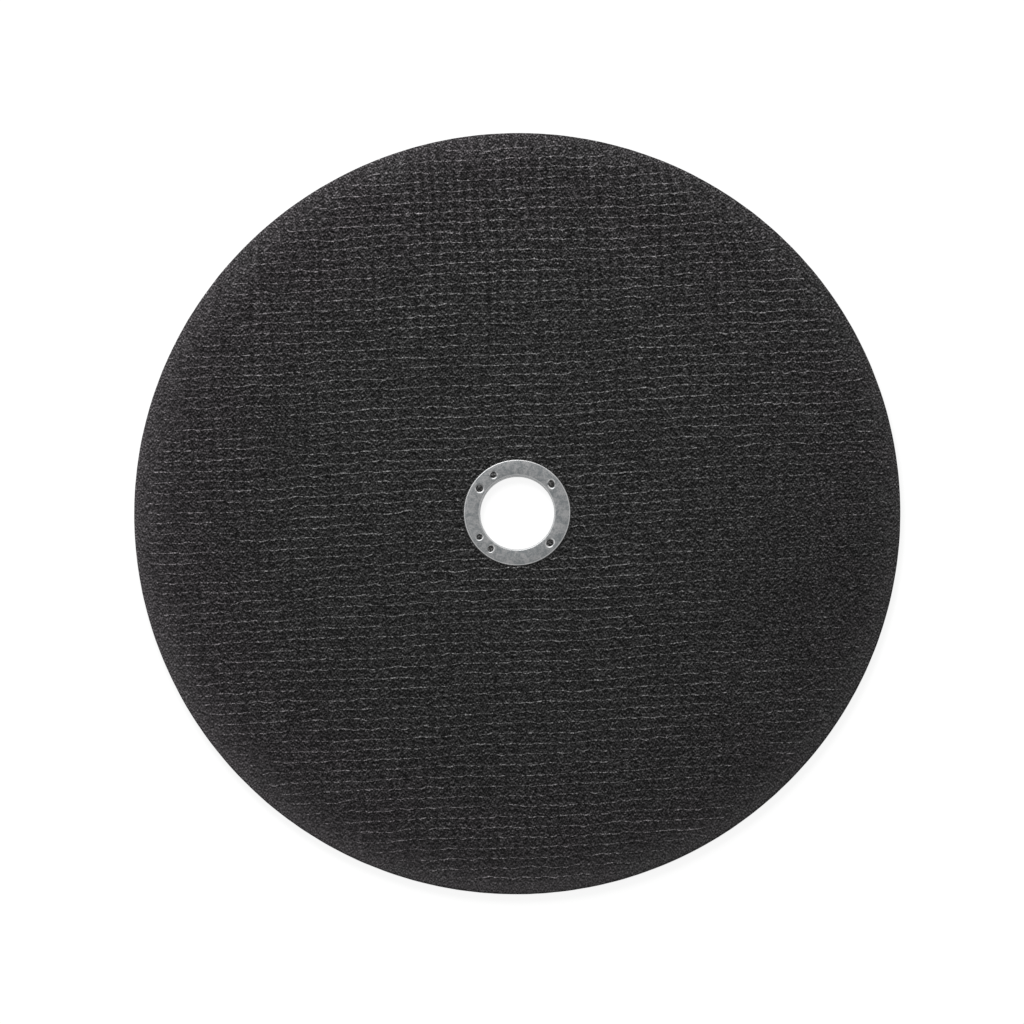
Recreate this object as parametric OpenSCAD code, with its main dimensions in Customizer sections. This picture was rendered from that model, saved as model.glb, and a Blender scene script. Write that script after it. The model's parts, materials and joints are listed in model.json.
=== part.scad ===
// Reinforced cut-off wheel: a moulded abrasive disc, faced on both sides with woven glass net,
// and the flanged steel ring that lines its bore.
// Sizes are in millimetres. The wheel lies on its back face at Z = 0, with the bore on the Z axis.

/* [Wheel] */
// Outside diameter of the wheel
wheel_d = 230; // [180:1:300]
// Thickness over the yarn crests of both faces
wheel_t = 3; // [2.4:0.1:4]
// Chamfer on the two edges of the rim
rim_chamfer = 0.3; // [0.1:0.05:0.6]

/* [Glass net] */
// Distance from one row of yarn to the next
row_pitch = 3.1; // [2.5:0.05:5]
// Width of a yarn along its crest
crest_w = 0.5; // [0.3:0.05:0.7]
// Width of a yarn at its foot
foot_w = 1.1; // [0.8:0.05:1.4]
// Height of the crests above the valleys between the yarns
relief = 0.2; // [0.1:0.05:0.3]
// Plain band between the net and the rim
net_margin = 3.5; // [2:0.5:8]
// Diameter of the hole in the middle of the net
net_hole_d = 28; // [26:0.5:30]
// Turn of the front net's rows from the X axis, in degrees
front_turn = 2.3; // [-90:0.1:90]
// Turn of the back net's rows from the X axis, in degrees
back_turn = 45; // [-90:0.1:90]

/* [Arbor ring] */
// Diameter of the bore that takes the spindle
bore_d = 22.23; // [20:0.01:23]
// Outside diameter of the flange
flange_d = 32; // [31:0.5:40]
// Thickness of the steel sheet
sheet_t = 0.4; // [0.3:0.05:0.45]
// Outside radius of the lip where the flange turns down into the bore
lip_r = 0.5; // [0.5:0.05:0.9]
// Radius on the flange's outer edge
flange_edge_r = 0.25; // [0.1:0.05:0.35]
// Height of the flange above the front face
flange_proud = 0.15; // [0.05:0.05:0.3]
// Distance that the barrel stops short of the back face
barrel_gap = 0.2; // [0:0.05:0.6]

/* [Anchor holes] */
// Diameter of the holes through the flange that the mix keys into
anchor_d = 2; // [1:0.1:2.4]
// Distance of the anchor holes' circle from the middle of the flange's width, towards the bore
anchor_inset = 0.1; // [-0.4:0.05:0.4]
// Depth of the mix below the flange's face in each anchor hole
anchor_recess = 0.25; // [0.1:0.05:0.4]

/* [Hidden] */

$fn = 128;
// Overshoot of a cutter past the face that it opens
over = 1;
// Places of the anchor holes round the flange, in degrees from the X axis
anchor_turns = [40, 122, 147, 213, 234, 317];

wheel_r = wheel_d / 2;
bore_r = bore_d / 2;
barrel_r = bore_r + sheet_t;
flange_r = flange_d / 2;
flange_top = wheel_t + flange_proud;
seat_z = flange_top - sheet_t;
inner_lip_r = lip_r - sheet_t;
anchor_circle_r = (bore_r + flange_r) / 2 - anchor_inset;

// A valley is the trough between two neighbouring rows of yarn
net_r = wheel_r - net_margin;
valley_top_w = row_pitch - crest_w;
valley_floor_w = row_pitch - foot_w;
// The outermost valley keeps this far inside the net's edge, so that no sliver is left there
net_edge_w = 1;
valleys_each_way = floor((net_r - net_edge_w - valley_top_w / 2) / row_pitch);

abrasive_black = [0.19, 0.185, 0.19];
zinc_grey = [0.56, 0.565, 0.57];

// What lies outside a quarter circle, in the corner of a square that starts at the origin.
// The circle's centre is at the square's lower right corner.
module corner_cut(r) {
    difference() {
        square(r);
        translate([r, 0]) circle(r);
    }
}

// Half section of the disc, from its bore to its rim, with the ring's seat and the rim's chamfers
module disc_section() {
    difference() {
        translate([barrel_r, 0]) square([wheel_r - barrel_r, wheel_t]);
        translate([barrel_r - over, seat_z]) square([flange_r - barrel_r + over, sheet_t + over]);
        translate([barrel_r, seat_z - inner_lip_r]) corner_cut(inner_lip_r);
        for (edge_z = [0, wheel_t])
            translate([wheel_r, edge_z]) rotate(45) square(rim_chamfer * sqrt(2), center = true);
    }
}

// One valley along the X axis, open upwards at Z = 0
module valley() {
    rotate([90, 0, 90])
        linear_extrude(height = wheel_d, center = true)
            polygon([
                [-valley_top_w / 2, over],
                [-valley_top_w / 2, 0],
                [-valley_floor_w / 2, -relief],
                [valley_floor_w / 2, -relief],
                [valley_top_w / 2, 0],
                [valley_top_w / 2, over]
            ]);
}

// All the valleys of one net, open upwards at Z = 0, inside the net's own outline
module net_valleys(turn) {
    intersection() {
        rotate(turn)
            for (row = [-valleys_each_way : valleys_each_way])
                translate([0, row * row_pitch, 0]) valley();
        difference() {
            cylinder(h = 2 * over, r = net_r, center = true);
            cylinder(h = 3 * over, d = net_hole_d, center = true);
        }
    }
}

// One cylinder at the place of each anchor hole, from one height to another
module anchors(from_z, to_z) {
    for (turn = anchor_turns)
        rotate(turn)
            translate([anchor_circle_r, 0, from_z]) cylinder(h = to_z - from_z, d = anchor_d);
}

// The moulded wheel: abrasive mix and the yarn rows pressed into its two faces
module abrasive_disc() {
    color(abrasive_black) {
        difference() {
            rotate_extrude() disc_section();
            translate([0, 0, wheel_t]) net_valleys(front_turn);
            rotate([180, 0, 0]) net_valleys(back_turn);
        }
        anchors(seat_z - inner_lip_r, flange_top - anchor_recess);
    }
}

// Half section of the ring: the flange, the barrel and the bend that joins them
module ring_section() {
    difference() {
        union() {
            translate([bore_r, seat_z]) square([flange_r - bore_r, sheet_t]);
            translate([bore_r, barrel_gap]) square([sheet_t, flange_top - barrel_gap]);
            translate([barrel_r, seat_z - inner_lip_r]) corner_cut(inner_lip_r);
        }
        translate([bore_r, flange_top - lip_r]) corner_cut(lip_r);
        translate([flange_r, flange_top - flange_edge_r]) mirror([1, 0]) corner_cut(flange_edge_r);
    }
}

// The pressed steel ring, with the anchor holes pierced through its flange
module arbor_ring() {
    color(zinc_grey)
        difference() {
            rotate_extrude() ring_section();
            anchors(seat_z - inner_lip_r, flange_top + over);
        }
}

abrasive_disc();
arbor_ring();
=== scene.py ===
import json
import math

import bpy
import numpy as np
from mathutils import Matrix, Vector

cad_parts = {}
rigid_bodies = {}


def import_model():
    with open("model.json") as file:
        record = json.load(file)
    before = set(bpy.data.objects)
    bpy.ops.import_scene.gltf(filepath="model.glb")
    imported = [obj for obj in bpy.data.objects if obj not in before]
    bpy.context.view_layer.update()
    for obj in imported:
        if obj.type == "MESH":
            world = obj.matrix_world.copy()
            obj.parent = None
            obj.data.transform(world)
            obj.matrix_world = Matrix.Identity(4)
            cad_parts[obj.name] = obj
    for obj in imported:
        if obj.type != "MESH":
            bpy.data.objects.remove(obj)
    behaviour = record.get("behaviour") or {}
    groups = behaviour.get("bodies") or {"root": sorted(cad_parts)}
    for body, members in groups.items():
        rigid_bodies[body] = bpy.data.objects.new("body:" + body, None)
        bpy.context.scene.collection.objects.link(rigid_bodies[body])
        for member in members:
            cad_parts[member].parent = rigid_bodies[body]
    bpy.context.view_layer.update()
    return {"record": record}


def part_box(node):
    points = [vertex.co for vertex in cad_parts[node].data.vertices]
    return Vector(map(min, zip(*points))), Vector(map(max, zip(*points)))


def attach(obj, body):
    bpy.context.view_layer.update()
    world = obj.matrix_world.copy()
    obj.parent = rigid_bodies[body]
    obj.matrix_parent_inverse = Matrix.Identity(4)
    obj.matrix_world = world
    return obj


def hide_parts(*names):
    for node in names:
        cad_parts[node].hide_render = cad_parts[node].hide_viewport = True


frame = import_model()
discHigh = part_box("abrasive_disc")[1]
ringLow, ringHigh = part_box("arbor_ring")
mounts = {mount["name"]: mount for mount in frame["record"]["mounts"]}

mm = 0.001
samePlace = 0.01 * mm          # points nearer than this count as one place
weld = 0.0005 * mm             # doubles nearer than this are merged
wheelR = discHigh.x
frontZ = discHigh.z
flangeR = ringHigh.x
flangeTop = ringHigh.z
boreR = mounts["arbor_bore"]["dims"]["r_mm"] * mm
print("frame loaded, wheel", round(2 * wheelR / mm, 2), "mm across")

# What the wheel's faces share: how deep the net lies and where it ends
faces = {
    "relief": 0.2 * mm,        # yarn crests above the mix between them
    "netR": 111.5 * mm,        # edge of the net
    "netLand": 1 * mm,         # the mix lies low this far past the net
    "netHoleR": 16.2 * mm,     # the net stops at the ring's flange
    "sheet": 0.4 * mm,         # steel of the ring
    "lipR": 0.5 * mm,          # bend from the flange into the bore
}
netEnd = faces["netR"] + faces["netLand"]
mixZ = frontZ - faces["relief"]
seatZ = flangeTop - faces["sheet"]
barrelR = boreR + faces["sheet"]
bendR = faces["lipR"] - faces["sheet"]


def toObjectMode():
    if bpy.context.mode != "OBJECT":
        bpy.ops.object.mode_set(mode="OBJECT")


def clearSelection():
    toObjectMode()
    bpy.ops.object.select_all(action="DESELECT")


def activate(piece):
    toObjectMode()
    bpy.context.view_layer.objects.active = piece


def selectOnly(piece):
    clearSelection()
    piece.select_set(True)
    activate(piece)


def readAll(parts, name, width=1, kind=float):
    # one value, or a row of them, for each vertex, face or corner
    found = np.empty(len(parts) * width, kind)
    parts.foreach_get(name, found)
    return found.reshape(-1, width) if width > 1 else found


def pointsOf(piece):
    return readAll(piece.data.vertices, "co", 3)


def markPoints(piece, name, values):
    # a value of its own for each vertex, for the materials to read
    piece.data.attributes.new(name, "FLOAT", "POINT").data.foreach_set("value", values)


def pick(piece, test):
    # selects the vertices whose x, y, z pass the test, and leaves the piece in edit mode
    activate(piece)
    mesh = piece.data
    for parts in (mesh.polygons, mesh.edges):
        parts.foreach_set("select", np.zeros(len(parts), bool))
    mesh.vertices.foreach_set("select", test(*pointsOf(piece).T))
    bpy.ops.object.mode_set(mode="EDIT")
    bpy.ops.mesh.select_mode(type="VERT")


def shove(piece, test, move=(0, 0, 0), size=None, pivot=(0, 0, 0)):
    # scales the picked vertices about the pivot, then moves them
    pick(piece, test)
    if size:
        bpy.ops.transform.resize(value=size, center_override=pivot)
    bpy.ops.transform.translate(value=move)


def everyPoint(x, y, z):
    return np.ones(len(x), bool)


def applyModifier(piece, kind, **settings):
    activate(piece)
    bpy.ops.object.modifier_add(type=kind)
    modifier = piece.modifiers[-1]
    for name, value in settings.items():
        setattr(modifier, name, value)
    bpy.ops.object.modifier_apply(modifier=modifier.name)


def mendShell(piece):
    # merges doubles and turns the faces outwards
    pick(piece, everyPoint)
    bpy.ops.mesh.remove_doubles(threshold=weld)
    bpy.ops.mesh.normals_make_consistent(inside=False)
    toObjectMode()


def drawSection(name, corners):
    # half section on the XZ plane: one vertex extruded from corner to corner, then closed
    clearSelection()
    bpy.ops.mesh.primitive_plane_add(size=mm)
    piece = bpy.context.active_object
    piece.name = name
    bpy.ops.object.mode_set(mode="EDIT")
    bpy.ops.mesh.merge(type="CENTER")
    bpy.ops.transform.translate(value=(corners[0][0], 0, corners[0][1]))
    for here, there in zip(corners, corners[1:]):
        step = (there[0] - here[0], 0, there[1] - here[1])
        bpy.ops.mesh.extrude_region_move(TRANSFORM_OT_translate={"value": step})
    bpy.ops.mesh.select_all(action="SELECT")
    bpy.ops.mesh.edge_face_add()
    toObjectMode()
    return piece


def roundCorner(piece, corner, radius, segments):
    def atCorner(x, y, z):
        return np.hypot(x - corner[0], z - corner[1]) < samePlace
    pick(piece, atCorner)
    bpy.ops.mesh.bevel(offset=radius, segments=segments, affect="VERTICES")


def cutEdge(piece, test, cuts):
    pick(piece, test)
    bpy.ops.mesh.subdivide(number_cuts=cuts)


def spinSection(piece, steps):
    pick(piece, everyPoint)
    bpy.ops.mesh.delete(type="ONLY_FACE")
    bpy.ops.mesh.select_all(action="SELECT")
    bpy.ops.mesh.spin(steps=steps, angle=2 * math.pi, center=(0, 0, 0), axis=(0, 0, 1))
    mendShell(piece)


def joinAll(pieces):
    clearSelection()
    for piece in pieces:
        piece.select_set(True)
    activate(pieces[0])
    bpy.ops.object.join()
    bpy.ops.object.transform_apply()
    return pieces[0]


def copiesRound(piece, radius, turns, shapes):
    # the piece and its copies, one at each turn on a circle about the bore,
    # each with its own widths and turn
    copies = [piece]
    while len(copies) < len(turns):
        selectOnly(piece)
        bpy.ops.object.duplicate()
        copies.append(bpy.context.active_object)
    for copy, turn, (width, length, spin) in zip(copies, turns, shapes):
        angle = math.radians(turn)
        copy.location = (radius * math.cos(angle), radius * math.sin(angle), 0)
        copy.rotation_euler.z = math.radians(spin)
        copy.scale = (width, length, 1)
    return joinAll(copies)


# Where each side of a piece lies on its flat map: middle across, middle up and radius
flatMap = {
    "turn": 33,                       # degrees, so that no yarn runs along the map's own rows
    "alone": (0.5, 0.5, 0.49),        # the side that shows, on a piece of one face
    "hidden": (0.075, 0.075, 0.07),
    "front": (0.41, 0.59, 0.4),       # the body's two faces
    "back": (0.83, 0.17, 0.15),
    "wallSlope": 0.5,                 # faces that look up less than this belong to the rim
    "stripU": 0.815,                  # the rim, cut into strips
    "stripV": 0.42,
    "stripWidth": 0.015,
    "stripFill": 0.9,
    "stripLength": 0.56,
    "strips": 12,
}


def layFlat(piece, above, below, rim=False):
    # the map that the piece's colours can be kept on: a disc for what looks up, one for what
    # looks down, and strips for the rim
    mesh = piece.data
    corner = readAll(mesh.loops, "vertex_index", kind=int)
    count = readAll(mesh.polygons, "loop_total", kind=int)
    slope = np.repeat(readAll(mesh.polygons, "normal", 3)[:, 2], count)
    x, y, z = pointsOf(piece)[corner].T
    turn = math.radians(flatMap["turn"])
    turnedX = (x * math.cos(turn) - y * math.sin(turn)) / wheelR
    turnedY = (x * math.sin(turn) + y * math.cos(turn)) / wheelR
    places = np.empty((len(corner), 2))
    for name, faced in ((above, slope > 0), (below, slope <= 0)):
        across, up, radius = flatMap[name]
        places[faced] = np.stack((across + turnedX * radius, up + turnedY * radius), 1)[faced]
    if rim:
        middle = np.repeat(readAll(mesh.polygons, "center", 3), count, axis=0)
        faceX, faceY = middle[:, 0], middle[:, 1]
        wall = (abs(slope) < flatMap["wallSlope"]) & (np.hypot(faceX, faceY) > wheelR / 2)
        share = 2 * math.pi / flatMap["strips"]
        strip = np.floor((np.arctan2(faceY, faceX) + math.pi) / share)
        start = strip * share - math.pi
        along = (np.arctan2(y, x) - start + math.pi) % (2 * math.pi) - math.pi
        u = flatMap["stripU"] + (strip + flatMap["stripFill"] * z / frontZ) * flatMap["stripWidth"]
        v = flatMap["stripV"] + along / share * flatMap["stripLength"]
        places[wall] = np.stack((u, v), 1)[wall]
    layer = mesh.uv_layers.new(name="OFBake")
    layer.uv.foreach_set("vector", places.astype(np.float32).ravel())


def clouds(name, size, depth=1):
    texture = bpy.data.textures.new(name, "CLOUDS")
    texture.noise_scale = size
    texture.noise_depth = depth
    return texture


# The moulded mix between the yarns, its rim and the seat under the ring
body = {
    "rimChamfer": 0.3 * mm,
    "chamferSegments": 2,
    "bendSegments": 3,
    "rings": 70,
    "steps": 512,
    "lumpSize": 5 * mm,
    "lumpDepth": 2,
    "lumpHeight": 0.12 * mm,
    "lumpMiddle": 0.9,         # near 1, so that lumps sink into the faces and hardly rise
}


def makeBody():
    corners = [
        (barrelR, 0), (wheelR, 0), (wheelR, frontZ),
        (flangeR, frontZ), (flangeR, seatZ), (barrelR, seatZ),
    ]
    piece = drawSection("bondedMix", corners)
    roundCorner(piece, (barrelR, seatZ), bendR, body["bendSegments"])
    for level in (0, frontZ):
        roundCorner(piece, (wheelR, level), body["rimChamfer"], body["chamferSegments"])
    for level in (0, frontZ):
        cutEdge(piece, lambda x, y, z: (abs(z - level) < samePlace), body["rings"])
    # both faces lie low where the net is; the back keeps a plain land round the bore
    shove(
        piece, lambda x, y, z: (x < netEnd) & (z > frontZ - samePlace), (0, 0, mixZ - frontZ),
    )
    shove(
        piece, lambda x, y, z: (x < netEnd) & (x > flangeR) & (z < samePlace),
        (0, 0, frontZ - mixZ),
    )
    spinSection(piece, body["steps"])
    applyModifier(
        piece, "DISPLACE", texture=clouds("mixLumps", body["lumpSize"], body["lumpDepth"]),
        mid_level=body["lumpMiddle"], strength=body["lumpHeight"],
    )
    return piece


# The two glass nets: rows of flat yarn, and cords that bind them from above
net = {
    "pitch": 3.1 * mm,
    "cells": 74,
    "frontTurn": 2.3,          # degrees
    "backTurn": 45,
    "sides": 5,                # of a yarn's section: a crest, two shoulders and two feet
    "rowHalfWidth": 0.5 * mm,
    "rowShoulder": 0.16 * mm,
    "cordHalfWidth": 0.27 * mm,
    "cordShoulder": 0.13 * mm,
    "shoulderRise": 0.72,      # against the crest's height above the foot
    "shoulderBareAndGlint": 0.35,  # against the crest's
    "foot": -0.1 * mm,         # yarn below the mix's own surface
    "tuck": 0.12 * mm,         # a cut end sinks this far into the mix
    "wander": 1.6 * mm,
    "wanderSize": 45 * mm,
    "sway": 1.2 * mm,
    "swaySize": 7 * mm,
    "wiggle": 1.0 * mm,
    "wiggleSize": 2.6 * mm,
    "heave": 0.065 * mm,
    "heaveSize": 9 * mm,
    # where resin covers the front net: x, y, radius of the middle and of the fade, depth, in mm
    "floods": (
        (92, -20, 10, 46, 0.054), (64, -72, 6, 26, 0.034), (22, 61, 4, 12, 0.03),
        (-38, 73, 4, 12, 0.03), (-74, 25, 4, 12, 0.03), (-86, -11, 4, 12, 0.03),
        (-70, 30, 8, 44, 0.012),
    ),
    # how pale the cords' crests are (partly bare glass, partly a painted glint), and where they
    # show most: x, y and reach in mm, and the gain
    "cordLevel": 0.65,
    "cordShows": ((-6, 92, 36, 1.7), (-54, -54, 28, 0.4), (60, -66, 26, 0.6)),
}
# place along the cell, height of the crest in mm, sideways shift in mm, width against the usual,
# bareness and glint (partly bare glass, partly a painted glint of light from the top); the cell
# ends as it starts
rowStations = (
    (-0.5, 0.14, 0.08, 0.8, 0.4), (-0.27, 0.18, 0, 1, 0.9), (0, 0.19, -0.05, 1.05, 1),
    (0.27, 0.18, 0, 1, 0.9), (0.5, 0.14, 0.08, 0.8, 0.4),
)
cordStations = (
    (-0.5, -0.08, 0, 0.9, 0.1), (-0.22, 0.12, -0.16, 1, 0.25), (0, 0.19, 0, 1.1, 0.45),
    (0.22, 0.12, 0.16, 1, 0.25), (0.5, -0.08, 0, 0.9, 0.1),
)


def yarnCell(name, stations, halfWidth, shoulder):
    # one pitch of yarn along X, drawn out from its first section to its last
    pitch = net["pitch"]
    clearSelection()
    bpy.ops.mesh.primitive_circle_add(
        vertices=net["sides"], radius=mm, rotation=(math.pi / 2, 0, math.pi / 2),
    )
    piece = bpy.context.active_object
    piece.name = name
    bpy.ops.object.transform_apply(rotation=True)
    shove(piece, everyPoint, (stations[0][0] * pitch, 0, 0))
    for here, there in zip(stations, stations[1:]):
        step = ((there[0] - here[0]) * pitch, 0, 0)
        bpy.ops.mesh.extrude_region_move(TRANSFORM_OT_translate={"value": step})
    # each section gets its crest, shoulders and feet, which lie one and two sides round from the
    # crest; what is done lies 10 mm up, out of the way
    away = 10 * mm
    side = 2 * math.pi / net["sides"]
    corners = (
        (0, 0, 1, 1), (side, shoulder, net["shoulderRise"], net["shoulderBareAndGlint"]),
        (2 * side, halfWidth, 0, 0),
    )
    toObjectMode()
    # how pale each vertex is: partly bare glass, partly a painted glint of light from the top
    bareGlint = np.zeros(len(pointsOf(piece)))
    for place, crest, aside, width, bareAndGlint in stations:
        tall = crest * mm - net["foot"]
        for turn, reach, rise, share in corners:
            def spot(x, y, z):
                atLevel = abs(z - math.cos(turn) * mm) < samePlace
                return (abs(x - place * pitch) < samePlace) & atLevel
            bareGlint[spot(*pointsOf(piece).T)] = bareAndGlint * share
            spread = width * reach / (math.sin(turn) * mm) if reach else 0
            move = (0, aside * mm, away + net["foot"] + rise * tall)
            shove(piece, spot, move, (1, spread, 0))
            toObjectMode()
    shove(piece, everyPoint, (0, 0, -away))
    toObjectMode()
    markPoints(piece, "bareAndGlint", bareGlint)
    return piece


def spreadCells(piece):
    # repeats one cell over the face, and cuts the sheet to the net's ring
    pitch, cells = net["pitch"], net["cells"]
    for offset in ((pitch, 0, 0), (0, pitch, 0)):
        applyModifier(
            piece, "ARRAY", count=cells, use_relative_offset=False, use_constant_offset=True,
            constant_offset_displace=offset, use_merge_vertices=offset[0] > 0,
            merge_threshold=samePlace,
        )
    reach = (cells - 1) / 2 * pitch
    shove(piece, everyPoint, (-reach, -reach, 0))

    def cutOff(x, y, z):
        # goes by whole sections, so that every yarn ends in a clean cut
        middle = abs(np.round((y + reach) / pitch) * pitch - reach)
        inner = np.hypot(x, middle - net["rowHalfWidth"])
        return (np.hypot(x, middle) > faces["netR"]) | (inner < faces["netHoleR"])
    pick(piece, cutOff)
    bpy.ops.mesh.delete(type="VERT")


def turnOutwards(piece, back):
    # a long thin yarn can come out inside out: its crest then looks into the mix
    bareGlint = readAll(piece.data.attributes["bareAndGlint"].data, "value")
    outwards = readAll(piece.data.vertex_normals, "vector", 3)[:, 2] * (-1 if back else 1)
    wellIn = -0.5
    pick(piece, lambda x, y, z: (bareGlint > 0) & (outwards < wellIn))
    bpy.ops.mesh.select_linked()
    bpy.ops.mesh.flip_normals()
    toObjectMode()


def layNet(piece, turn, back):
    # turns the sheet of yarn, beds it in the mix and makes it uneven
    spreadCells(piece)
    pick(piece, everyPoint)
    bpy.ops.transform.rotate(value=-turn, orient_axis="Z", center_override=(0, 0, 0))
    bpy.ops.mesh.delete_loose(use_faces=False)
    bpy.ops.mesh.select_all(action="DESELECT")
    bpy.ops.mesh.select_non_manifold()
    bpy.ops.transform.translate(value=(0, 0, -net["tuck"]))
    bpy.ops.mesh.select_all(action="SELECT")
    bpy.ops.mesh.fill_holes(sides=net["sides"])
    shove(piece, everyPoint, (0, 0, mixZ))
    for direction, change in (
        ("Y", "wander"), ("X", "wander"), ("Y", "sway"), ("X", "sway"), ("Y", "wiggle"),
        ("Z", "heave"),
    ):
        applyModifier(
            piece, "DISPLACE", texture=clouds(change + direction, net[change + "Size"]),
            direction=direction, strength=net[change],
            mid_level=1 if change == "heave" else 0.5,        # heave only lowers the yarn
        )
    for floodX, floodY, core, fade, depth in () if back else net["floods"]:
        pick(piece, lambda x, y, z: np.hypot(x - floodX * mm, y - floodY * mm) < core * mm)
        bpy.ops.transform.translate(
            value=(0, 0, -depth * mm), use_proportional_edit=True,
            proportional_edit_falloff="SMOOTH", proportional_size=fade * mm,
        )
    if back:
        shove(piece, everyPoint, (0, 0, 0), (1, 1, -1), (0, 0, frontZ / 2))
    mendShell(piece)
    turnOutwards(piece, back)


def makeNet(side):
    back = side == "back"
    turn = math.radians(net[side + "Turn"])
    rows = yarnCell(side + "Rows", rowStations, net["rowHalfWidth"], net["rowShoulder"])
    layNet(rows, turn, back)
    cords = yarnCell(side + "Cords", cordStations, net["cordHalfWidth"], net["cordShoulder"])
    layNet(cords, turn + math.pi / 2, back)
    x, y = pointsOf(cords).T[:2] / mm
    gain = np.full(len(x), net["cordLevel"])
    for middleX, middleY, reach, rise in net["cordShows"]:
        gain += rise * np.exp(-((x - middleX) ** 2 + (y - middleY) ** 2) / reach ** 2)
    bareAndGlint = cords.data.attributes["bareAndGlint"].data
    bareAndGlint.foreach_set("value", readAll(bareAndGlint, "value") * gain)
    return [rows, cords]


# Loose-looking abrasive grains, half sunk in the faces
grit = {
    "frontCount": 12000,
    "backCount": 7000,
    "frontSeed": 12,
    "backSeed": 11,
    "sizes": (0.12 * mm, 0.3 * mm),   # half widths
    "stretch": (0.7, 1.5),            # of each width
    "flatness": 0.5,
    "bedShift": (-0.03 * mm, 0.04 * mm),
    "rimSink": 0.08 * mm,             # grains lie this much lower past the net
    "edge": 0.5 * mm,                 # bare edge at the rim
    "ringGap": 0.3 * mm,              # and round the ring
}


def makeGrit(side):
    # a grain has eight sides: a four-sided cone, with the middle of its foot drawn down
    clearSelection()
    bpy.ops.mesh.primitive_cone_add(
        vertices=4, radius1=1, depth=1, end_fill_type="TRIFAN", location=(0, 0, 0.5),
    )
    seedPiece = bpy.context.active_object
    bpy.ops.object.transform_apply()
    shove(seedPiece, lambda x, y, z: (np.hypot(x, y) < 0.1) & (z < 0.1), (0, 0, -1))
    toObjectMode()
    shape = pointsOf(seedPiece)
    sides = np.array([face.vertices[:] for face in seedPiece.data.polygons])
    bpy.data.objects.remove(seedPiece)
    # one row of values for each grain
    count = grit[side + "Count"]
    column = (count, 1)
    chance = np.random.default_rng(grit[side + "Seed"])
    outer = wheelR - grit["edge"] if side == "front" else faces["netR"]
    inner = flangeR + grit["ringGap"]
    radius = np.sqrt(chance.uniform(inner ** 2, outer ** 2, column))
    angle = chance.uniform(0, 2 * math.pi, column)
    size = chance.uniform(*grit["sizes"], column)
    turn = chance.uniform(0, 2 * math.pi, column)
    stretch = chance.uniform(*grit["stretch"], (count, 2))
    bed = np.where(radius > netEnd, frontZ - grit["rimSink"], mixZ)
    bed = bed + chance.uniform(*grit["bedShift"], column)
    tone = chance.normal(0, 1, count)
    wide = shape[:, 0] * stretch[:, :1] * size
    long = shape[:, 1] * stretch[:, 1:] * size
    x = wide * np.cos(turn) - long * np.sin(turn) + radius * np.cos(angle)
    y = wide * np.sin(turn) + long * np.cos(turn) + radius * np.sin(angle)
    z = shape[:, 2] * grit["flatness"] * size + bed
    places = np.stack((x, y, z if side == "front" else frontZ - z), 2)
    corners = np.arange(count)[:, None, None] * len(shape) + sides
    mesh = bpy.data.meshes.new(side + "Grit")
    mesh.from_pydata(places.reshape(-1, 3).tolist(), [], corners.reshape(-1, 3).tolist())
    piece = bpy.data.objects.new(side + "Grit", mesh)
    bpy.context.collection.objects.link(piece)
    markPoints(piece, "grainTone", np.repeat(tone, len(shape)))
    mendShell(piece)
    return piece


# The pressed steel ring and the mix that shows in its pierced marks
ring = {
    "edgeR": 0.25 * mm,
    "edgeSegments": 8,
    "bendSegments": 4,
    "steps": 192,
    "markTurns": (40, 122, 147, 213, 234, 317),
    "markCircleR": 13.4575 * mm,
    # each mark's two widths against the usual, and its own turn in degrees
    "markShapes": (
        (0.92, 1.2, 12), (1, 0.92, 30), (1.08, 1.08, 0),
        (0.95, 0.85, 35), (0.85, 1, -30), (1.2, 1, 40),
    ),
    "markR": 0.98 * mm,
    "markSteps": 40,
    "dimpleR": 1.44 * mm,
    "dimpleDepth": 0.15 * mm,
    "dimpleRound": 0.12 * mm,
    "footRound": 0.1 * mm,     # where the dimple meets the hole
    "roundSegments": 3,
    "wornInset": 0.05 * mm,    # the pale part, burnished and a painted highlight, starts this far inside the dimple's edge
    "cutterOver": 1 * mm,      # the cutter's reach past both faces of the sheet
    "plugTop": 2.9 * mm,
    "plugDish": 0.05 * mm,
    "plugRound": 0.1 * mm,
    "plugSegments": 2,
    # the mix in the marks is painted lighter, standing in for glints in them
    "plugLitTone": 2.5,
}


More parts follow.
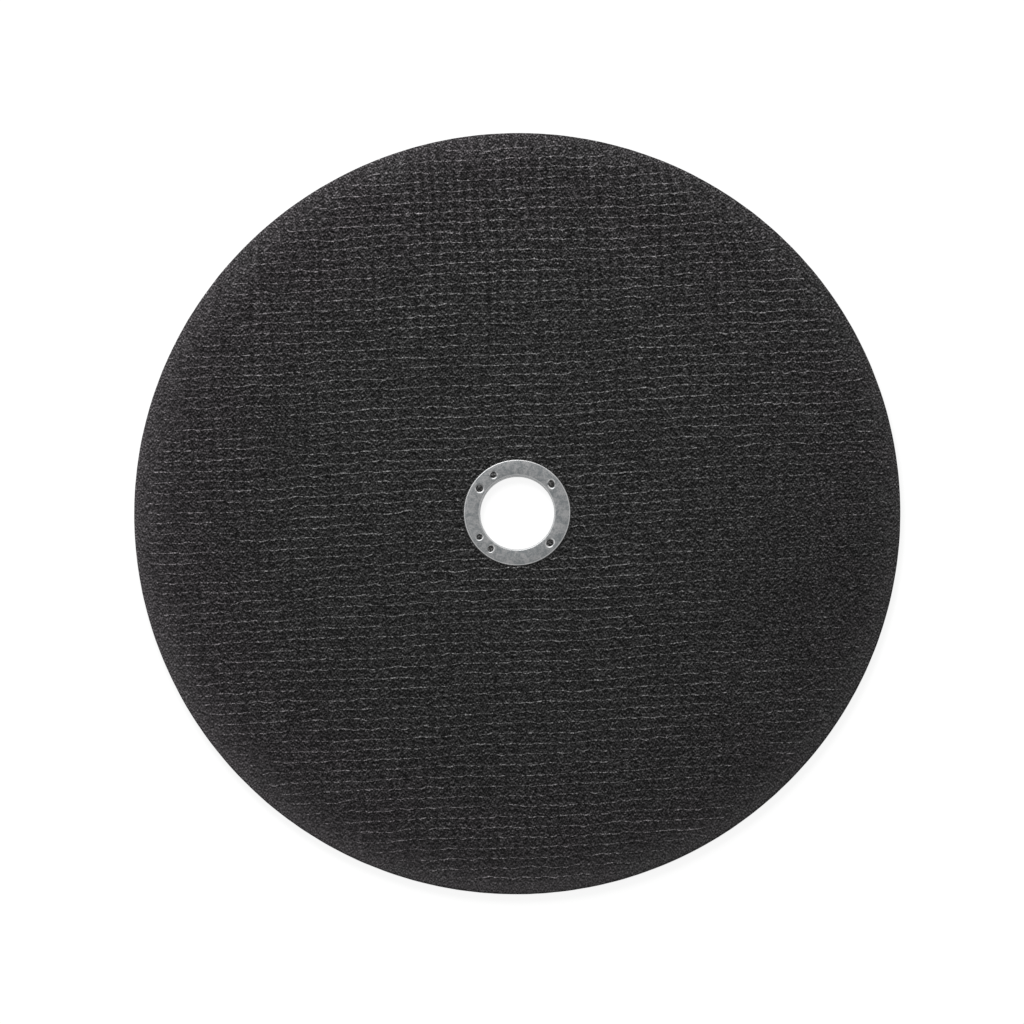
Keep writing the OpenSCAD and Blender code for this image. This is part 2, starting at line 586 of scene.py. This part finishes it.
def makeRing():
    foot = ringLow.z
    corners = [
        (boreR, foot), (barrelR, foot), (barrelR, seatZ),
        (flangeR, seatZ), (flangeR, flangeTop), (boreR, flangeTop),
    ]
    piece = drawSection("steelRing", corners)
    roundCorner(piece, (barrelR, seatZ), bendR, ring["bendSegments"])
    roundCorner(piece, (flangeR, flangeTop), ring["edgeR"], ring["edgeSegments"])
    roundCorner(piece, (boreR, flangeTop), faces["lipR"], ring["edgeSegments"])
    spinSection(piece, ring["steps"])
    holeR, dimpleR = ring["markR"], ring["dimpleR"]
    low, high = seatZ - ring["cutterOver"], flangeTop + ring["cutterOver"]
    dimpleFoot = flangeTop - ring["dimpleDepth"]
    cutter = drawSection("markCutter", [
        (0, low), (holeR, low), (holeR, dimpleFoot),
        (dimpleR, flangeTop), (dimpleR, high), (0, high),
    ])
    roundCorner(cutter, (dimpleR, flangeTop), ring["dimpleRound"], ring["roundSegments"])
    roundCorner(cutter, (holeR, dimpleFoot), ring["footRound"], ring["roundSegments"])
    spinSection(cutter, ring["markSteps"])
    cutter = copiesRound(cutter, ring["markCircleR"], ring["markTurns"], ring["markShapes"])
    applyModifier(piece, "BOOLEAN", object=cutter, operation="DIFFERENCE", solver="EXACT")
    bpy.data.objects.remove(cutter)
    mendShell(piece)
    # the dimples' inner walls are marked pale: partly burnished metal, partly a painted highlight
    x, y, z = pointsOf(piece).T
    wornAndLit = np.zeros(len(x))
    for turn, shape in zip(np.radians(ring["markTurns"]), ring["markShapes"]):
        middleX, middleY = ring["markCircleR"] * np.cos(turn), ring["markCircleR"] * np.sin(turn)
        reach = max(shape[:2]) * dimpleR - ring["wornInset"]
        inDimple = np.hypot(x - middleX, y - middleY) < reach
        wornAndLit[inDimple & (z < flangeTop - samePlace)] = 1
    markPoints(piece, "wornAndLit", wornAndLit)
    return piece


def makePlugs():
    holeR, top, foot = ring["markR"], ring["plugTop"], seatZ - bendR
    piece = drawSection("anchorPlugs", [
        (0, foot), (holeR, foot), (holeR, top), (0, top - ring["plugDish"]),
    ])
    roundCorner(piece, (holeR, top), ring["plugRound"], ring["plugSegments"])
    spinSection(piece, ring["markSteps"])
    piece = copiesRound(piece, ring["markCircleR"], ring["markTurns"], ring["markShapes"])
    # painted glint: the plugs' mix is made lighter than the rest
    markPoints(piece, "grainTone", np.full(len(piece.data.vertices), ring["plugLitTone"]))
    return piece


# Studio: pale floor, one wide lamp from the wheel's upper edge, and the camera
studio = {
    "elevation": 82.7,
    "azimuth": 12.0,
    "distance": 12.0,
    "pixel": 0.3 * mm,                # on the wheel
    "imageWidth": 1024,
    "sensor": 36,
    "clipEnd": 100,
    "wheelAtPixel": (517.1, 512.6),
    "worldLevel": 0.4,
    "keyPlace": (-0.22, 0.66, 0.7),
    "keySize": 0.5,
    "keyPower": 8.2,
    "floorSize": 60,
    "floorColour": 0.19,
    "floorGlow": 0.87,
}


def placeCamera():
    turn, rise = math.radians(studio["azimuth"]), math.radians(studio["elevation"])
    flat = math.cos(rise)
    back = Vector((math.sin(turn) * flat, -math.cos(turn) * flat, math.sin(rise)))
    up = Vector((0, 1, 0))
    up = (up - up.dot(back) * back).normalized()
    right = up.cross(back)
    middle = studio["imageWidth"] / 2
    across, down = ((place - middle) * studio["pixel"] for place in studio["wheelAtPixel"])
    aim = Vector((0, 0, frontZ)) - right * across + up * down
    bpy.ops.object.camera_add()
    camera = bpy.context.active_object
    facing = Matrix((right, up, back)).transposed().to_4x4()
    camera.matrix_world = Matrix.Translation(aim + back * studio["distance"]) @ facing
    viewWidth = studio["imageWidth"] * studio["pixel"]
    camera.data.sensor_width = studio["sensor"]
    camera.data.lens = studio["sensor"] * studio["distance"] / viewWidth
    camera.data.clip_end = studio["clipEnd"]
    bpy.context.scene.camera = camera


def placeLights():
    world = bpy.data.worlds.new("studioWorld")
    world.use_nodes = True
    level = studio["worldLevel"]
    background = world.node_tree.nodes["Background"]
    background.inputs["Color"].default_value = (level, level, level, 1)
    bpy.context.scene.world = world
    bpy.ops.object.light_add(type="AREA", location=studio["keyPlace"])
    key = bpy.context.active_object
    key.name = "keyLamp"
    key.rotation_mode = "QUATERNION"
    key.rotation_quaternion = (-Vector(studio["keyPlace"])).to_track_quat("-Z", "Y")
    key.data.size = studio["keySize"]
    key.data.energy = studio["keyPower"]
    key.visible_camera = False


class Wire:
    # a socket of a node tree; arithmetic on it adds Math nodes
    noiseGain = 7.0            # brings a noise to about -1 to 1 in most places

    def __init__(self, tree, socket=None):
        self.tree = tree
        self.socket = socket

    def plug(self, target, value):
        if isinstance(value, Wire):
            self.tree.links.new(value.socket, target)
        else:
            target.default_value = value

    def node(self, kind, settings=None, sockets=None, out=0):
        made = self.tree.nodes.new("ShaderNode" + kind)
        for name, value in (settings or {}).items():
            setattr(made, name, value)
        for name, value in (sockets or {}).items():
            self.plug(made.inputs[name], value)
        return Wire(self.tree, made.outputs[out])

    def maths(self, operation, first, second=0.0):
        return self.node("Math", {"operation": operation}, {0: first, 1: second})

    def __add__(self, other):
        return self.maths("ADD", self, other)

    def __radd__(self, other):
        return self.maths("ADD", other, self)

    def __sub__(self, other):
        return self.maths("SUBTRACT", self, other)

    def __rsub__(self, other):
        return self.maths("SUBTRACT", other, self)

    def __mul__(self, other):
        return self.maths("MULTIPLY", self, other)

    def __rmul__(self, other):
        return self.maths("MULTIPLY", other, self)

    def step(self, low, high, kind="SMOOTHSTEP"):
        # 0 at low, 1 at high and past it
        ends = {"Value": self, "From Min": low, "From Max": high}
        return self.node("MapRange", {"interpolation_type": kind}, ends)

    def places(self):
        # where a point lies on the wheel, whole and as x, y and z
        place = self.node("TexCoord", out="Object")
        axes = [self.node("SeparateXYZ", None, {"Vector": place}, out=axis) for axis in "XYZ"]
        return [place] + axes

    def pointMark(self, name):
        return self.node("Attribute", {"attribute_name": name}, out="Fac")

    def noise(self, place, size, detail=1.0, distortion=0.0, shift=(0, 0, 0)):
        # size is the width of a lump, or its widths along X, Y and Z
        widths = size if isinstance(size, tuple) else (size, size, size)
        scaled = self.node("Mapping", None, {
            "Vector": place,
            "Location": tuple(step / width for step, width in zip(shift, widths)),
            "Scale": tuple(1 / width for width in widths),
        })
        found = self.node("TexNoise", None, {
            "Vector": scaled, "Scale": 1.0, "Detail": detail, "Distortion": distortion,
        })
        return (found - 0.5) * self.noiseGain

    def mix(self, factor, dark, light):
        # 6, 7 and 2 are the node's colour sockets
        sockets = {"Factor": factor, 6: dark, 7: light}
        return self.node("Mix", {"data_type": "RGBA"}, sockets, out=2)


def newMaterial(name):
    material = bpy.data.materials.new(name)
    material.use_nodes = True
    return material, Wire(material.node_tree), material.node_tree.nodes["Principled BSDF"]


resin = {
    "black": 0.0186,
    # grain: short lumps, bright worms and each loose grain's own tone
    "fineSize": (0.49 * mm, 0.4 * mm, 0.5 * mm),
    "fineShift": 0.62 * mm,    # lumps this far above and below are taken off
    "fineThinning": 0.14,
    "fineLevel": 0.75,
    "wormSize": (1.0 * mm, 0.52 * mm, 0.9 * mm),
    "wormTwist": 0.5,
    "wormWidth": 0.7,
    "wormLevel": 0.35,
    "toneLevel": 0.3,
    "contrast": 0.98,
    "contrastRise": 0.1,       # towards the top: painted light from above
    # light and dark columns along the cords: painted light and shade of their ridges
    "column": 0.075,
    "columnRise": 0.14,
    "columnRiseFrom": 40 * mm,
    "columnRiseTo": 95 * mm,
    "columnDrift": 3.2,
    "driftSize": (13 * mm, 34 * mm, 13 * mm),
    "columnFade": 0.5 * mm,    # from the middle of the thickness to the front
    # tints
    "tint": (1.0, 0.995, 0.998),
    "warmTint": (1.035, 0.962, 1.008),
    "warmStart": 62 * mm,
    "warmEnd": 104 * mm,
    "warmth": 0.72,
    "warmthDrop": 0.38,        # towards the right
    "blotchSize": 11 * mm,
    "blotch": 0.22,
    # the rim: each with its level, and its change towards the right and the top; these changes are
    # painted light and shade, palest on the left
    "rimGain": (1.25, -0.5, 0.08),
    "rimStart": 100 * mm,
    "rimCurve": 2.5,
    "calm": (0.19, -0.04, -0.13),
    "calmStart": 95 * mm,
    "calmEnd": 111 * mm,
    "glow": (0.09, -0.12, -0.06),
    "glowStart": 80 * mm,
    "glowEnd": 110 * mm,
    # paler yarn crests: partly bare glass, partly a painted glint of light from the top
    "bareGlassAndGlint": 0.39,
    "bareGlintLimit": 0.9,
    "bareGlintGrain": 0.8,
    "wornFrom": 0.16 * mm,     # depths below the crests
    "wornTo": 0.03 * mm,
    "patchSize": (2.4 * mm, 1.6 * mm, 2 * mm),
    "patchRange": (-1.9, 0.6),
    "fieldSize": 25 * mm,
    "fieldRange": (-1.6, 0.6),
    "fieldLevel": 0.7,
    "fieldGain": 0.3,
    "fieldRise": 0.22,         # towards the top: painted light from above
    "specular": 0.02,
    "roughness": 0.7,
    "bareShine": 0.2,
    "bump": 0.3,
    "bumpGrain": 0.3,
    "bumpDepth": 0.1 * mm,
}


def resinMaterial(name):
    # black resin with grain; paler yarn crests, partly bare glass and partly a painted glint of
    # light from the top
    material, wire, shader = newMaterial(name)
    place, x, y, z = wire.places()
    radius = wire.maths("SQRT", x * x + y * y)
    midZ = frontZ / 2
    # grain with less of its broad lumps down the face
    fine, above, below = (
        wire.noise(place, resin["fineSize"], 0.0, shift=(0, shift, 0))
        for shift in (0, resin["fineShift"], -resin["fineShift"])
    )
    fine = fine - resin["fineThinning"] * (above + below)
    curl = wire.noise(place, resin["wormSize"], 0.0, resin["wormTwist"])
    worm = wire.maths("ABSOLUTE", curl).step(resin["wormWidth"], 0.0)
    tone = wire.pointMark("grainTone")
    # painted light and shade of the front cords' ridges: uneven light and dark columns, most of
    # all near the top
    turn = math.radians(net["frontTurn"])
    drift = wire.noise(place, resin["driftSize"]) * resin["columnDrift"]
    across = (x * math.cos(turn) + y * math.sin(turn)) * (2 * math.pi / net["pitch"])
    upper = y.step(resin["columnRiseFrom"], resin["columnRiseTo"])
    column = wire.maths("SINE", across + drift) * (resin["column"] + upper * resin["columnRise"])
    column = column * z.step(midZ, midZ + resin["columnFade"])
    grain = resin["fineLevel"] * fine + resin["wormLevel"] * worm + resin["toneLevel"] * tone
    grain = grain + column
    # smoother and paler towards the rim; palest on the left, which is painted light from the upper
    # left
    rimGain, calm, glow = (
        level + x * (right / wheelR) + y * (top / wheelR)
        for level, right, top in (resin["rimGain"], resin["calm"], resin["glow"])
    )
    rim = radius.step(resin["rimStart"], wheelR, "LINEAR")
    rim = wire.maths("POWER", rim, resin["rimCurve"]) * rimGain
    rim = rim + radius.step(resin["glowStart"], resin["glowEnd"]) * glow
    calm = radius.step(resin["calmStart"], resin["calmEnd"]) * calm
    # painted light: the grain's contrast rises towards the top
    contrast = (resin["contrast"] + y * (resin["contrastRise"] / wheelR)) * (1.0 - calm)
    black = wire.maths("EXPONENT", grain * contrast) * resin["black"] * (1.0 + rim)
    # the crests are paler in patches: partly bare glass, partly a painted glint of light from the
    # top
    height = wire.maths("ABSOLUTE", z - midZ)
    wornAndLit = height.step(midZ - resin["wornFrom"], midZ - resin["wornTo"])
    patch = wire.noise(place, resin["patchSize"]).step(*resin["patchRange"])
    field = wire.noise(place, resin["fieldSize"]).step(*resin["fieldRange"])
    # painted light: the crests grow paler towards the top
    field = field * resin["fieldGain"] + resin["fieldLevel"] + y * (resin["fieldRise"] / wheelR)
    bareGlint = wire.pointMark("bareAndGlint") * wornAndLit * patch * field
    bareGlint = bareGlint * wire.maths("EXPONENT", resin["bareGlintGrain"] * fine)
    bareGlint = wire.maths("DIVIDE", bareGlint, 1.0 + bareGlint * resin["bareGlintLimit"])
    level = black + bareGlint * resin["bareGlassAndGlint"]
    # warmer towards the rim, least so on the right
    blotch = wire.noise(place, resin["blotchSize"]) * resin["blotch"]
    warmth = resin["warmth"] - x * (resin["warmthDrop"] / wheelR) + blotch
    warmth = radius.step(resin["warmStart"], resin["warmEnd"]) * warmth
    tint = wire.mix(warmth, resin["tint"] + (1,), resin["warmTint"] + (1,))
    colour = wire.node("VectorMath", {"operation": "SCALE"}, {0: tint, "Scale": level})
    wire.plug(shader.inputs["Base Color"], colour)
    wire.plug(shader.inputs["Roughness"], resin["roughness"] - resin["bareShine"] * bareGlint)
    shader.inputs["Specular IOR Level"].default_value = resin["specular"]
    bump = wire.node("Bump", None, {
        "Strength": resin["bump"], "Distance": resin["bumpDepth"],
        "Height": fine * resin["bumpGrain"] + worm * resin["bumpGrain"],
    })
    wire.plug(shader.inputs["Normal"], bump)
    return material


steelLook = {
    "dark": (0.2, 0.214, 0.221, 1),
    "light": (0.33, 0.331, 0.333, 1),
    "level": 0.5,              # between the two
    "mottle": 0.42,
    "mottleSize": 1.8 * mm,
    "mottleDetail": 2.0,
    "mottleTwist": 0.8,
    "grain": 0.32,
    "grainSize": 0.52 * mm,
    "turned": 0.12,
    "turnedPitch": 0.75 * mm,
    "turnedBand": 2.6 * mm,    # from the outer edge
    # the pale lip in the bore, a painted highlight: how far out of it and how far down it goes
    "lip": (0.6, 0.605, 0.61, 1),
    "lipShare": 0.85,
    "lipOut": (0.55 * mm, 0.3 * mm),
    "lipDown": (0.7 * mm, 0.45 * mm),
    # the flange's edge and the dimples, painted pale: partly worn, burnished metal and partly a
    # painted highlight
    "edge": (0.76, 0.76, 0.76, 1),
    "edgeShare": 0.6,
    "edgeIn": (0.42 * mm, 0.25 * mm),
    "wornAndLitShare": 0.8,
    "rubSize": 1.5 * mm,
    "rubRange": (-0.9, 0.6),
    "metal": 0.6,
    "metalWorn": 0.2,          # less on the pale dimples and on the pale lip
    "metalLip": 0.4,
    "roughness": 0.4,
    "roughMottle": 0.02,
    "roughWorn": 0.15,
}


def steelMaterial():
    material, wire, shader = newMaterial("zincSteel")
    place, x, y, z = wire.places()
    radius = wire.maths("SQRT", x * x + y * y)
    mottle = wire.noise(
        place, steelLook["mottleSize"], steelLook["mottleDetail"], steelLook["mottleTwist"],
    )
    grain = wire.noise(place, steelLook["grainSize"])
    # faint turning marks near the outer edge
    turned = wire.maths("SINE", radius * (2 * math.pi / steelLook["turnedPitch"]) + mottle)
    turned = turned * radius.step(flangeR - steelLook["turnedBand"], flangeR)
    shade = mottle * steelLook["mottle"] + grain * steelLook["grain"]
    shade = shade + turned * steelLook["turned"] + steelLook["level"]
    colour = wire.mix(shade, steelLook["dark"], steelLook["light"])
    # painted highlight: a pale, less metallic band round the bore's lip
    lip = radius.step(*(boreR + out for out in steelLook["lipOut"]))
    lip = lip * z.step(*(flangeTop - down for down in steelLook["lipDown"]))
    colour = wire.mix(lip * steelLook["lipShare"], colour, steelLook["lip"])
    # the pale outer edge and dimple walls: partly burnished metal, partly a painted highlight
    edge = radius.step(*(flangeR - inset for inset in steelLook["edgeIn"]))
    rub = wire.noise(place, steelLook["rubSize"]).step(*steelLook["rubRange"])
    wornAndLit = wire.pointMark("wornAndLit") * rub
    bright = wire.maths("MAXIMUM", edge * steelLook["edgeShare"], wornAndLit * steelLook["wornAndLitShare"])
    colour = wire.mix(bright, colour, steelLook["edge"])
    metal = steelLook["metal"] - steelLook["metalWorn"] * wornAndLit - steelLook["metalLip"] * lip
    roughness = steelLook["roughness"] + steelLook["roughMottle"] * mottle
    wire.plug(shader.inputs["Base Color"], colour)
    wire.plug(shader.inputs["Metallic"], metal)
    wire.plug(shader.inputs["Roughness"], roughness + steelLook["roughWorn"] * wornAndLit)
    return material


def makeFloor():
    clearSelection()
    bpy.ops.mesh.primitive_plane_add(size=studio["floorSize"])
    floor = bpy.context.active_object
    floor.name = "studioFloor"
    material, wire, shader = newMaterial("studioFloor")
    level = studio["floorColour"]
    shader.inputs["Base Color"].default_value = (level, level, level, 1)
    shader.inputs["Roughness"].default_value = 1
    shader.inputs["Specular IOR Level"].default_value = 0
    seen = wire.node("LightPath", out="Is Camera Ray")
    for ray in ("Is Glossy Ray", "Is Transmission Ray"):
        seen = wire.maths("MAXIMUM", seen, wire.node("LightPath", out=ray))
    glow = wire.node("Emission", None, {"Strength": seen * studio["floorGlow"]})
    both = wire.node("AddShader", None, {0: Wire(wire.tree, shader.outputs[0]), 1: glow})
    wire.plug(wire.tree.nodes["Material Output"].inputs["Surface"], both)
    floor.data.materials.append(material)


def dress(piece, material, node=None, angle=50):
    selectOnly(piece)
    if angle:
        bpy.ops.object.shade_smooth_by_angle(angle=math.radians(angle))
    piece.data.materials.clear()
    piece.data.materials.append(material)
    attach(piece, "root")
    if node:
        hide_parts(node)
    triangles = sum(len(face.vertices) - 2 for face in piece.data.polygons)
    print(piece.name, triangles, "triangles")


placeCamera()
placeLights()
makeFloor()
print("studio ready")
mixLook = resinMaterial("resinMix")
yarnLook = resinMaterial("glassYarn")
gritLook = resinMaterial("abrasiveGrit")
mix = makeBody()
layFlat(mix, "front", "back", rim=True)
dress(mix, mixLook, "abrasive_disc")
for side, above, below in (("front", "alone", "hidden"), ("back", "hidden", "alone")):
    for piece in makeNet(side):
        layFlat(piece, above, below)
        dress(piece, yarnLook)
    grains = makeGrit(side)
    layFlat(grains, above, below)
    dress(grains, gritLook, angle=0)
dress(makeRing(), steelMaterial(), "arbor_ring", angle=14)
dress(makePlugs(), mixLook)

scene = bpy.context.scene
scene.view_settings.view_transform = "Standard"
